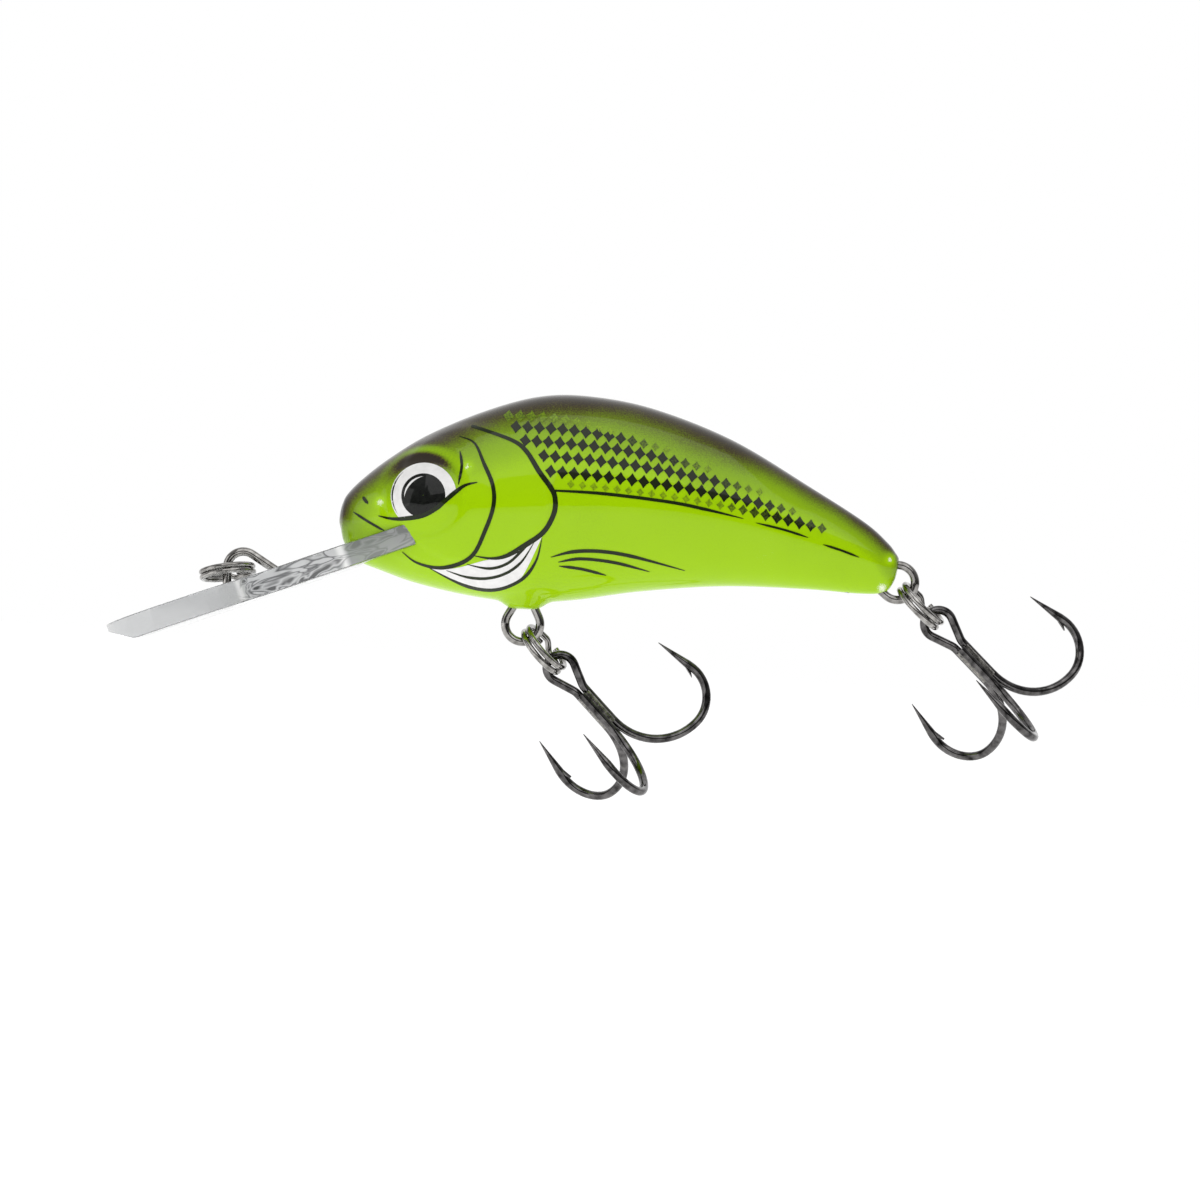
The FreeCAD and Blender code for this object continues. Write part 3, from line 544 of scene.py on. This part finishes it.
# The same ink laid thinner: where the print fades, the green below shows through.
scale_ink, tree, shader = new_material("pad_printed_scale_ink")
pressed = add(tree, "Attribute", {"attribute_name": "pressure"}).outputs["Fac"]
place = add(tree, "TexCoord").outputs["Object"]
grain = add(tree, "TexNoise", {"Scale": 1 / (0.15 * MM), "Detail": 2.0}, {"Vector": place})
patchy = add(tree, "MapRange", {1: 0.3, 2: 0.7, 3: -0.18, 4: 0.18}, {0: grain.outputs["Fac"]})
weight = add(tree, "Math", {"operation": "ADD"}, {0: pressed, 1: patchy.outputs[0]})
tone = add(tree, "ValToRGB", {}, {0: weight.outputs[0]})
ramp(tone, (0.0, "#86A80E"), (0.45, "#4C5F12"), (0.85, "#1A200C"))
tree.links.new(tone.outputs[0], shader.inputs["Base Color"])
under_coat(shader)
scales.data.materials.append(scale_ink)
belong(scales, "lure_body", "painted_abs")


# ---------------------------------------------------------------- the eyes
# Each eye is printed on its moulded dome: a white ring, a black pupil and a pale glint,
# all under the clear coat.  The lower lid's shadow covers the ring's lower rear edge.

WHITE_RADIUS = 2.62
PUPIL_RADIUS = 1.75
RIM_RADIUS = 2.5
LID = next(points for name, points, width in LINES if name == "lower lid")
lid_line = [through(LID, number / 40) for number in range(41)]


def above_lid(x, z):
    """The place itself, or the lid line above it where the lid covers it."""
    for (x0, z0), (x1, z1) in zip(lid_line, lid_line[1:]):
        if x0 <= x <= x1:
            return x, max(z, z0 + (z1 - z0) * (x - x0) / (x1 - x0))
    return x, z


def round_eye(reach, turn):
    """The place in the side view (mm) at a reach and turn about the eye's middle."""
    return EYE.x / MM + reach * math.cos(turn), EYE.z / MM + reach * math.sin(turn)


def disc_at(radius, hole):
    """point_at for a round print with a hole."""
    def point_at(share, across):
        reach = hole + (radius - hole) * across
        return above_lid(*round_eye(reach, 2 * math.pi * share))
    return point_at


def rim_at(share, across):
    """A thin shadow inside the white ring's front edge."""
    turn = math.radians(135 + 85 * share)
    thick = 0.13 * math.sin(math.pi * share)
    return round_eye(RIM_RADIUS + thick * (across - 0.5), turn)


def glint_at(share, across):
    """A pale crescent along the pupil's upper front edge."""
    turn = math.radians(95 + 95 * share)
    thick = 0.16 * math.sin(math.pi * share)
    return round_eye(PUPIL_RADIUS - 0.25 - thick * (1 - across), turn)


eye_white = close_film(film("eye_white", disc_at(WHITE_RADIUS, 1.5), 96, 6, 0.6 * INK))
pupil = close_film(film("eye_pupil", disc_at(PUPIL_RADIUS, 0.02), 96, 8, 0.9 * INK))
eye_rim = close_film(film("eye_rim", rim_at, 40, 2, 0.8 * INK))
glint = close_film(film("eye_glint", glint_at, 24, 2, 1.2 * INK))
eye_white.data.materials.append(white)
belong(eye_white, "lure_body", "painted_abs")

# Black ink laid thick: nearly even, so the wet coat over it gives the pupil its depth.
black, tree, shader = new_material("pad_printed_black_ink")
place = add(tree, "TexCoord").outputs["Object"]
grain = add(tree, "TexNoise", {"Scale": 1 / (0.3 * MM), "Detail": 2.0}, {"Vector": place})
tone = add(tree, "ValToRGB", {}, {0: grain.outputs["Fac"]})
ramp(tone, (0.3, "#0B0C0B"), (0.8, "#191B18"))
tree.links.new(tone.outputs[0], shader.inputs["Base Color"])
under_coat(shader)
for piece, print_ink in ((pupil, black), (eye_rim, ink), (glint, white)):
    piece.data.materials.append(print_ink)
    belong(piece, "lure_body", "painted_abs")


# ---------------------------------------------------------------- the diving lip
# A water-clear polycarbonate plate glued into a slot under the nose.  Its square tang shows
# at both sides of the head; the blade is ground thin under its front edge.

LIP_THICK = 1.85
LIP_EASE = 0.12
LIP_SLOPE = math.radians(22.8)
LIP_BACK_END = Vector((13.15, 0, 4.55)) * MM
LIP_LENGTH = 25.7
GRIND_RUN = 2.6
TANG_END = 9
BLADE_SIDE = (17, 21.5)
# half outline from the tang's end to the front: along the lip and half width, mm
LIP_HALF = (
    (0, 4.3), (8.7, 4.3), (10.2, 3.75), (11.6, 3.6), (13.1, 3.95), (14.5, 5.05),
    (15.7, 6.05), (17.0, 6.5), (21.3, 6.5), (24.0, 4.8), (25.35, 2.35), (LIP_LENGTH, 0),
)
outline = list(LIP_HALF) + [(x, -y) for x, y in reversed(LIP_HALF[:-1])]
lip_curve = bpy.data.curves.new("diving_lip", "CURVE")
lip_curve.dimensions = "2D"
lip_curve.fill_mode = "BOTH"
lip_curve.extrude = (LIP_THICK / 2 - LIP_EASE) * MM
lip_curve.bevel_depth = LIP_EASE * MM
lip_curve.bevel_resolution = 3
lip_curve.offset = -LIP_EASE * MM
lip_curve.resolution_u = 10
spline = lip_curve.splines.new("BEZIER")
spline.bezier_points.add(len(outline) - 1)
spline.use_cyclic_u = True
for point, (x, y) in zip(spline.bezier_points, outline):
    point.co = (x * MM, y * MM, -LIP_THICK / 2 * MM)
    straight = x < TANG_END or BLADE_SIDE[0] <= x <= BLADE_SIDE[1]
    point.handle_left_type = point.handle_right_type = "VECTOR" if straight else "AUTO"
lip = bpy.data.objects.new("clear_diving_lip", lip_curve)
bpy.context.scene.collection.objects.link(lip)
start_piece()
lip.select_set(True)
bpy.context.view_layer.objects.active = lip
bpy.ops.object.convert(target="MESH")
bpy.ops.object.mode_set(mode="EDIT")
bpy.ops.mesh.select_all(action="SELECT")
bpy.ops.mesh.remove_doubles(threshold=0.001 * MM)
bpy.ops.mesh.select_all(action="SELECT")
grind = math.atan2(0.7 * LIP_THICK, GRIND_RUN)
bpy.ops.mesh.bisect(plane_co=((LIP_LENGTH - GRIND_RUN) * MM, 0, -LIP_THICK * MM),
                    plane_no=(math.sin(grind), 0, -math.cos(grind)),
                    use_fill=True, clear_outer=True)
bpy.ops.mesh.select_all(action="SELECT")
bpy.ops.mesh.normals_make_consistent(inside=False)
bpy.ops.object.mode_set(mode="OBJECT")
bpy.ops.object.shade_smooth_by_angle(angle=math.radians(35))
flip = Matrix.Rotation(math.pi, 4, "Z")
lip.matrix_world = Matrix.Translation(LIP_BACK_END) @ Matrix.Rotation(-LIP_SLOPE, 4, "Y") @ flip
settle(lip, "clear_diving_lip")

# Moulded polycarbonate: clear and slightly grey, with a faint haze where it was handled.
clear, tree, shader = new_material("clear_moulded_polycarbonate")
place = add(tree, "TexCoord").outputs["Object"]
haze = add(tree, "TexNoise", {"Scale": 1 / (2.5 * MM), "Detail": 3.0}, {"Vector": place})
blur = add(tree, "MapRange", {1: 0.3, 2: 0.7, 3: 0.02, 4: 0.10}, {0: haze.outputs["Fac"]})
flow = add(tree, "TexNoise", {"Scale": 1 / (4 * MM), "Detail": 1.0}, {"Vector": place})
sink = add(tree, "Bump", {"Strength": 0.25, "Distance": 0.15 * MM}, {"Height": flow.outputs["Fac"]})
tree.links.new(blur.outputs[0], shader.inputs["Roughness"])
tree.links.new(sink.outputs[0], shader.inputs["Normal"])
shader.inputs["Base Color"].default_value = srgb("#E9EBEC")
shader.inputs["Transmission Weight"].default_value = 1.0
shader.inputs["IOR"].default_value = 1.586

# The plate's edge as it left the mould: satin, so it looks silver grey instead of clear.
# Bright and dark swirls gather in the neck, the blade is even, and painted highlights lie along the
# two corners.
edge, tree, shader = new_material("satin_polycarbonate_edge_painted_highlights")
place = add(tree, "TexCoord").outputs["Object"]
along_lip = add(tree, "VectorRotate", {"rotation_type": "AXIS_ANGLE", "Angle": LIP_SLOPE,
                                       "Axis": (0, 1, 0), "Center": LIP_BACK_END},
                {"Vector": place})
axes = add(tree, "SeparateXYZ", {}, {0: along_lip.outputs[0]})
run = add(tree, "MapRange", {1: LIP_BACK_END.x, 2: LIP_BACK_END.x - LIP_LENGTH * MM},
          {0: axes.outputs["X"]})
zones = add(tree, "ValToRGB", {}, {0: run.outputs[0]})
# the two narrow near-white bands are painted highlights on the corners of the edge
ramp(zones, (0.0, "#A8A9AA"), (0.205, "#9C9EA0"), (0.222, "#F8F8F8"), (0.232, "#F8F8F8"),
     (0.244, "#D2D3D4"), (0.545, "#D2D3D4"), (0.552, "#F8F8F8"), (0.560, "#F8F8F8"),
     (0.568, "#C6C7C8"), (0.95, "#CDCECF"), (1.0, "#BFC0C1"))
stretch = add(tree, "Mapping", {"Scale": (0.4, 0.5, 1.25)}, {"Vector": along_lip.outputs[0]})
swirl = add(tree, "TexNoise", {"Scale": 1 / (1.9 * MM), "Detail": 1.0, "Distortion": 2.4},
            {"Vector": stretch.outputs[0]})
marks = add(tree, "ValToRGB", {}, {0: swirl.outputs["Fac"]})
ramp(marks, (0.36, "#2C2E30"), (0.43, "#FFFFFF"), (0.50, "#55575A"), (0.55, "#FFFFFF"))
neck = add(tree, "ValToRGB", {}, {0: run.outputs[0]})
ramp(neck, (0.0, "#A8A8A8"), (0.21, "#A8A8A8"), (0.25, "#F0F0F0"), (0.53, "#F0F0F0"),
     (0.57, "#202020"), (1.0, "#303030"))
tone = add(tree, "Mix", {"data_type": "RGBA", "blend_type": "MULTIPLY"},
           {0: neck.outputs[0], 6: zones.outputs[0], 7: marks.outputs[0]})
tree.links.new(tone.outputs[2], shader.inputs["Base Color"])
shader.inputs["Roughness"].default_value = 0.22
shader.inputs["Transmission Weight"].default_value = 0.25
shader.inputs["IOR"].default_value = 1.586
lip.data.materials.append(clear)
lip.data.materials.append(edge)
lip_normal = Vector((-math.sin(LIP_SLOPE), 0, math.cos(LIP_SLOPE)))
for face in lip.data.polygons:
    face.material_index = int(abs(face.normal.dot(lip_normal)) < 0.5)
belong(lip, "lure_body", "clear_polycarbonate", "diving_lip")


# ---------------------------------------------------------------- wire loops
# The line tie and the two hangers are bent from stainless spring wire and trapped between
# the half shells; the line tie also passes through the lip.

def smooth_copy(node, name):
    """A CAD piece's surface joined up and shaded round, in a mesh of its own."""
    start_piece()
    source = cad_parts[node]
    piece = bpy.data.objects.new(name, source.data.copy())
    bpy.context.scene.collection.objects.link(piece)
    piece.data.materials.clear()
    piece.select_set(True)
    bpy.context.view_layer.objects.active = piece
    bpy.ops.object.mode_set(mode="EDIT")
    bpy.ops.mesh.select_all(action="SELECT")
    bpy.ops.mesh.remove_doubles(threshold=0.0004 * MM)
    bpy.ops.mesh.customdata_custom_splitnormals_clear()
    bpy.ops.object.mode_set(mode="OBJECT")
    bpy.ops.object.shade_smooth_by_angle(angle=math.radians(40))
    return settle(piece, name)


def metal(name, dark, light, rough_low, rough_high, grain_mm, relief=0.04):
    """A metal whose tone and polish wander over its surface."""
    material, tree, shader = new_material(name)
    place = add(tree, "TexCoord").outputs["Object"]
    grain = add(tree, "TexNoise", {"Scale": 1 / (grain_mm * MM), "Detail": 3.0}, {"Vector": place})
    tone = add(tree, "ValToRGB", {}, {0: grain.outputs["Fac"]})
    ramp(tone, (0.3, dark), (0.7, light))
    polish = add(tree, "MapRange", {1: 0.3, 2: 0.7, 3: rough_low, 4: rough_high},
                 {0: grain.outputs["Fac"]})
    scratch = add(tree, "Bump", {"Strength": relief, "Distance": 0.05 * MM},
                  {"Height": grain.outputs["Fac"]})
    tree.links.new(tone.outputs[0], shader.inputs["Base Color"])
    tree.links.new(polish.outputs[0], shader.inputs["Roughness"])
    tree.links.new(scratch.outputs[0], shader.inputs["Normal"])
    shader.inputs["Metallic"].default_value = 1.0
    return material


# Drawn stainless wire: bright, with darker patches left by the bending.
stainless = metal("drawn_stainless_wire", "#64625F", "#A6A4A1", 0.06, 0.13, 0.6)
for node in ("line_tie_wire", "belly_hanger", "tail_hanger"):
    piece = smooth_copy(node, node + "_bent")
    piece.data.materials.append(stainless)
    belong(piece, "lure_body", "stainless_wire", node)


# ---------------------------------------------------------------- split rings
# Two flat coils of nickel-plated steel with a crossover, one in each hanger and one on
# the line tie.  Tumbling before plating has rounded their edges.

RING_OUTSIDE = 4.6 * MM
RING_RADIAL = 0.45 * MM
RING_MIDDLE = (RING_OUTSIDE - RING_RADIAL) / 2
CROSSOVER_HALF_TURN = math.radians(16)
CROSSOVER_STEPS = 12
COIL_STEP = math.radians(3)
COIL_GAP = 0.02 * MM
BEVEL = 0.5 * MM


def split_ring(name, loop_middle, hang, heading, roll, coil):
    """Two coils and their crossover, hung in a loop and heading down at an angle below +X."""
    step = (coil + COIL_GAP) / 2
    last = 2 * math.pi - CROSSOVER_HALF_TURN
    count = math.ceil((last - CROSSOVER_HALF_TURN) / COIL_STEP)
    turns = [CROSSOVER_HALF_TURN + number * COIL_STEP for number in range(count)]
    path = [(turn, -step) for turn in turns] + [(last, -step)]
    for number in range(1, CROSSOVER_STEPS):
        share = number / CROSSOVER_STEPS
        turn = last + 2 * CROSSOVER_HALF_TURN * share
        path.append((turn, step * math.sin(math.pi * (share - 0.5))))
    path += [(2 * math.pi + turn, step) for turn in turns]
    curve = bpy.data.curves.new(name, "CURVE")
    curve.dimensions = "3D"
    curve.bevel_depth = BEVEL
    curve.bevel_resolution = 5
    curve.use_fill_caps = True
    spline = curve.splines.new("POLY")
    spline.points.add(len(path) - 1)
    for point, (turn, height) in zip(spline.points, path):
        point.co = (RING_MIDDLE * math.cos(turn), RING_MIDDLE * math.sin(turn), height, 1)
        point.radius = (coil + RING_RADIAL) / 4 / BEVEL
    piece = bpy.data.objects.new(name, curve)
    bpy.context.scene.collection.objects.link(piece)
    way = Vector((math.cos(heading), 0, -math.sin(heading)))
    turn = Matrix.Rotation(heading, 4, "Y") @ Matrix.Rotation(roll, 4, "X")
    start_piece()
    piece.select_set(True)
    bpy.context.view_layer.objects.active = piece
    bpy.ops.object.convert(target="MESH")
    middle = loop_middle + way * (hang + RING_MIDDLE)
    piece.matrix_world = Matrix.Translation(middle) @ turn @ Matrix.Rotation(math.pi / 2, 4, "Z")
    bpy.ops.object.shade_smooth_by_angle(angle=math.radians(50))
    return settle(piece, name)


# Dark nickel over spring steel: tumbled, so every coil is mirror bright and round-edged.
nickel = metal("dark_nickel_plated_steel", "#64625F", "#A8A6A3", 0.05, 0.11, 0.6)
# node, carrier, the loop's middle (mm), how far from it the coil's middle line rests (mm),
# degrees below +X, roll, width of one coil (mm)
RINGS = (
    ("line_tie_ring", "tie_ring", (0.8, 0, 0), 0.0, 168.0, 8.0, 0.42),
    ("belly_ring", "belly_split_ring", (22.7, 0, -2.85), 0.56, 45.6, 12.0, 0.56),
    ("tail_ring", "tail_split_ring", (52.45, 0, 2.75), 0.56, 41.4, 10.0, 0.56),
)
for node, carrier, loop_middle, hang, heading, roll, coil in RINGS:
    piece = split_ring(node + "_coils", Vector(loop_middle) * MM, hang * MM,
                       math.radians(heading), math.radians(roll), coil * MM)
    piece.data.materials.append(nickel)
    belong(piece, carrier, "nickel_plated_steel", node)


# ---------------------------------------------------------------- treble hooks
# Each treble is a doubled wire with the eye and two points, and a single wire with the
# third point, brazed together and plated black nickel.

# Black nickel over forged wire: smoky and shiny, with darker clouds along the bends.
# The braze under the same plate froze lumpy, so it glitters unevenly.
black_nickel = metal("black_nickel_plate", "#242323", "#6E6C6C", 0.06, 0.13, 0.7)
braze = metal("plated_braze_fillet", "#2E2D2C", "#98958F", 0.14, 0.36, 0.30, 1.0)
for end in ("belly", "tail"):
    carrier = end + "_treble"
    for part in ("double_wire", "single_wire"):
        node = carrier + "_" + part
        piece = smooth_copy(node, node + "_forged")
        piece.data.materials.append(black_nickel)
        belong(piece, carrier, "black_nickel_steel", node)
    piece = smooth_copy(carrier + "_braze", carrier + "_braze_fillet")
    piece.data.materials.append(braze)
    belong(piece, carrier, "braze_metal", carrier + "_braze")


# ---------------------------------------------------------------- what rattles inside
# A lead ballast in the belly and three steel balls in their cells, all sealed in the body.

# Cast lead is dull and blue-grey; a ground bearing ball is bright all over.
lead = metal("cast_lead", "#4D5054", "#75797D", 0.5, 0.7, 0.8)
ball_steel = metal("ground_ball_steel", "#8C8E90", "#B4B6B8", 0.08, 0.14, 1.0)
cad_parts["ballast_weight"].data.materials.clear()
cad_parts["ballast_weight"].data.materials.append(lead)
for cell in ("front", "middle", "rear"):
    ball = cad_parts["rattle_ball_" + cell]
    ball.data.materials.clear()
    ball.data.materials.append(ball_steel)


# ---------------------------------------------------------------- the studio
# A matt pale floor well below the hanging hooks, a white surround, a large soft key above,
# a weaker fill at the nose, and the camera square to the flank.

FLOOR_LEVEL = -0.055
start_piece()
bpy.ops.mesh.primitive_grid_add(x_subdivisions=8, y_subdivisions=8, size=6.0,
                                location=(0, 0, FLOOR_LEVEL))
floor = settle(bpy.context.object, "pale_floor")
# Background paper, matt and faintly fibrous, lit from within a little so it stays pale.
matt, tree, shader = new_material("matt_white_paper")
place = add(tree, "TexCoord").outputs["Object"]
fibre = add(tree, "TexNoise", {"Scale": 400.0, "Detail": 3.0}, {"Vector": place})
tone = add(tree, "ValToRGB", {}, {0: fibre.outputs["Fac"]})
ramp(tone, (0.3, "#F7F7F7"), (0.7, "#FCFCFC"))
tree.links.new(tone.outputs[0], shader.inputs["Base Color"])
shader.inputs["Roughness"].default_value = 1.0
shader.inputs["Specular IOR Level"].default_value = 0.0
shader.inputs["Emission Color"].default_value = srgb("#FFFFFF")
shader.inputs["Emission Strength"].default_value = 0.46
floor.data.materials.append(matt)

world = bpy.data.worlds.new("white_surround")
world.use_nodes = True
tree = world.node_tree
soft_box = tree.nodes["Background"]
rays = add(tree, "LightPath")
place = add(tree, "TexCoord").outputs["Generated"]
axes = add(tree, "SeparateXYZ", {}, {0: place})
overhead = add(tree, "MapRange", {1: 0.0, 2: 0.9, 3: 0.02, 4: 0.55}, {0: axes.outputs["Z"]})
behind = add(tree, "MapRange", {1: 0.05, 2: 0.85, 3: 0.0, 4: 0.95}, {0: axes.outputs["Y"]})
around = add(tree, "Math", {"operation": "ADD"}, {0: overhead.outputs[0], 1: behind.outputs[0]})
seen = add(tree, "Mix", {"data_type": "FLOAT"},
           {0: rays.outputs["Is Camera Ray"], 2: around.outputs[0]})
seen.inputs[3].default_value = 1.0
tree.links.new(seen.outputs[0], soft_box.inputs["Strength"])
soft_box.inputs["Color"].default_value = (1, 1, 1, 1)
bpy.context.scene.world = world

LAMPS = (
    # name, stand and aim in metres, side of the square, watts
    ("key_above", (0.06, -0.34, 0.42), (0.025, 0, 0.005), 0.60, 1.50),
    ("fill_nose", (-0.40, -0.16, 0.10), (0.02, 0, 0), 0.30, 0.35),
)
for name, stand, aim, side, watts in LAMPS:
    lamp_data = bpy.data.lights.new(name, "AREA")
    lamp_data.size = side
    lamp_data.energy = watts
    lamp = bpy.data.objects.new(name, lamp_data)
    lamp.location = stand
    lamp.rotation_euler = (Vector(aim) - Vector(stand)).to_track_quat("-Z", "Y").to_euler()
    bpy.context.scene.collection.objects.link(lamp)

AIM_X = 0.02874
AIM_Z = -0.00044
FIELD_WIDE = 0.0963
LENS = 120.0
SENSOR = 36.0
ROLL = math.radians(4.3)
camera_data = bpy.data.cameras.new("studio_camera")
camera_data.lens = LENS
camera_data.sensor_width = SENSOR
camera_data.clip_start = 0.01
camera = bpy.data.objects.new("studio_camera", camera_data)
right = Vector((math.cos(ROLL), 0, math.sin(ROLL)))
up = Vector((-math.sin(ROLL), 0, math.cos(ROLL)))
back = right.cross(up)
turn = Matrix((right, up, back)).transposed().to_4x4()
camera.matrix_world = Matrix.Translation((AIM_X, -FIELD_WIDE * LENS / SENSOR, AIM_Z)) @ turn
bpy.context.scene.collection.objects.link(camera)
bpy.context.scene.camera = camera
bpy.context.scene.view_settings.view_transform = "Standard"
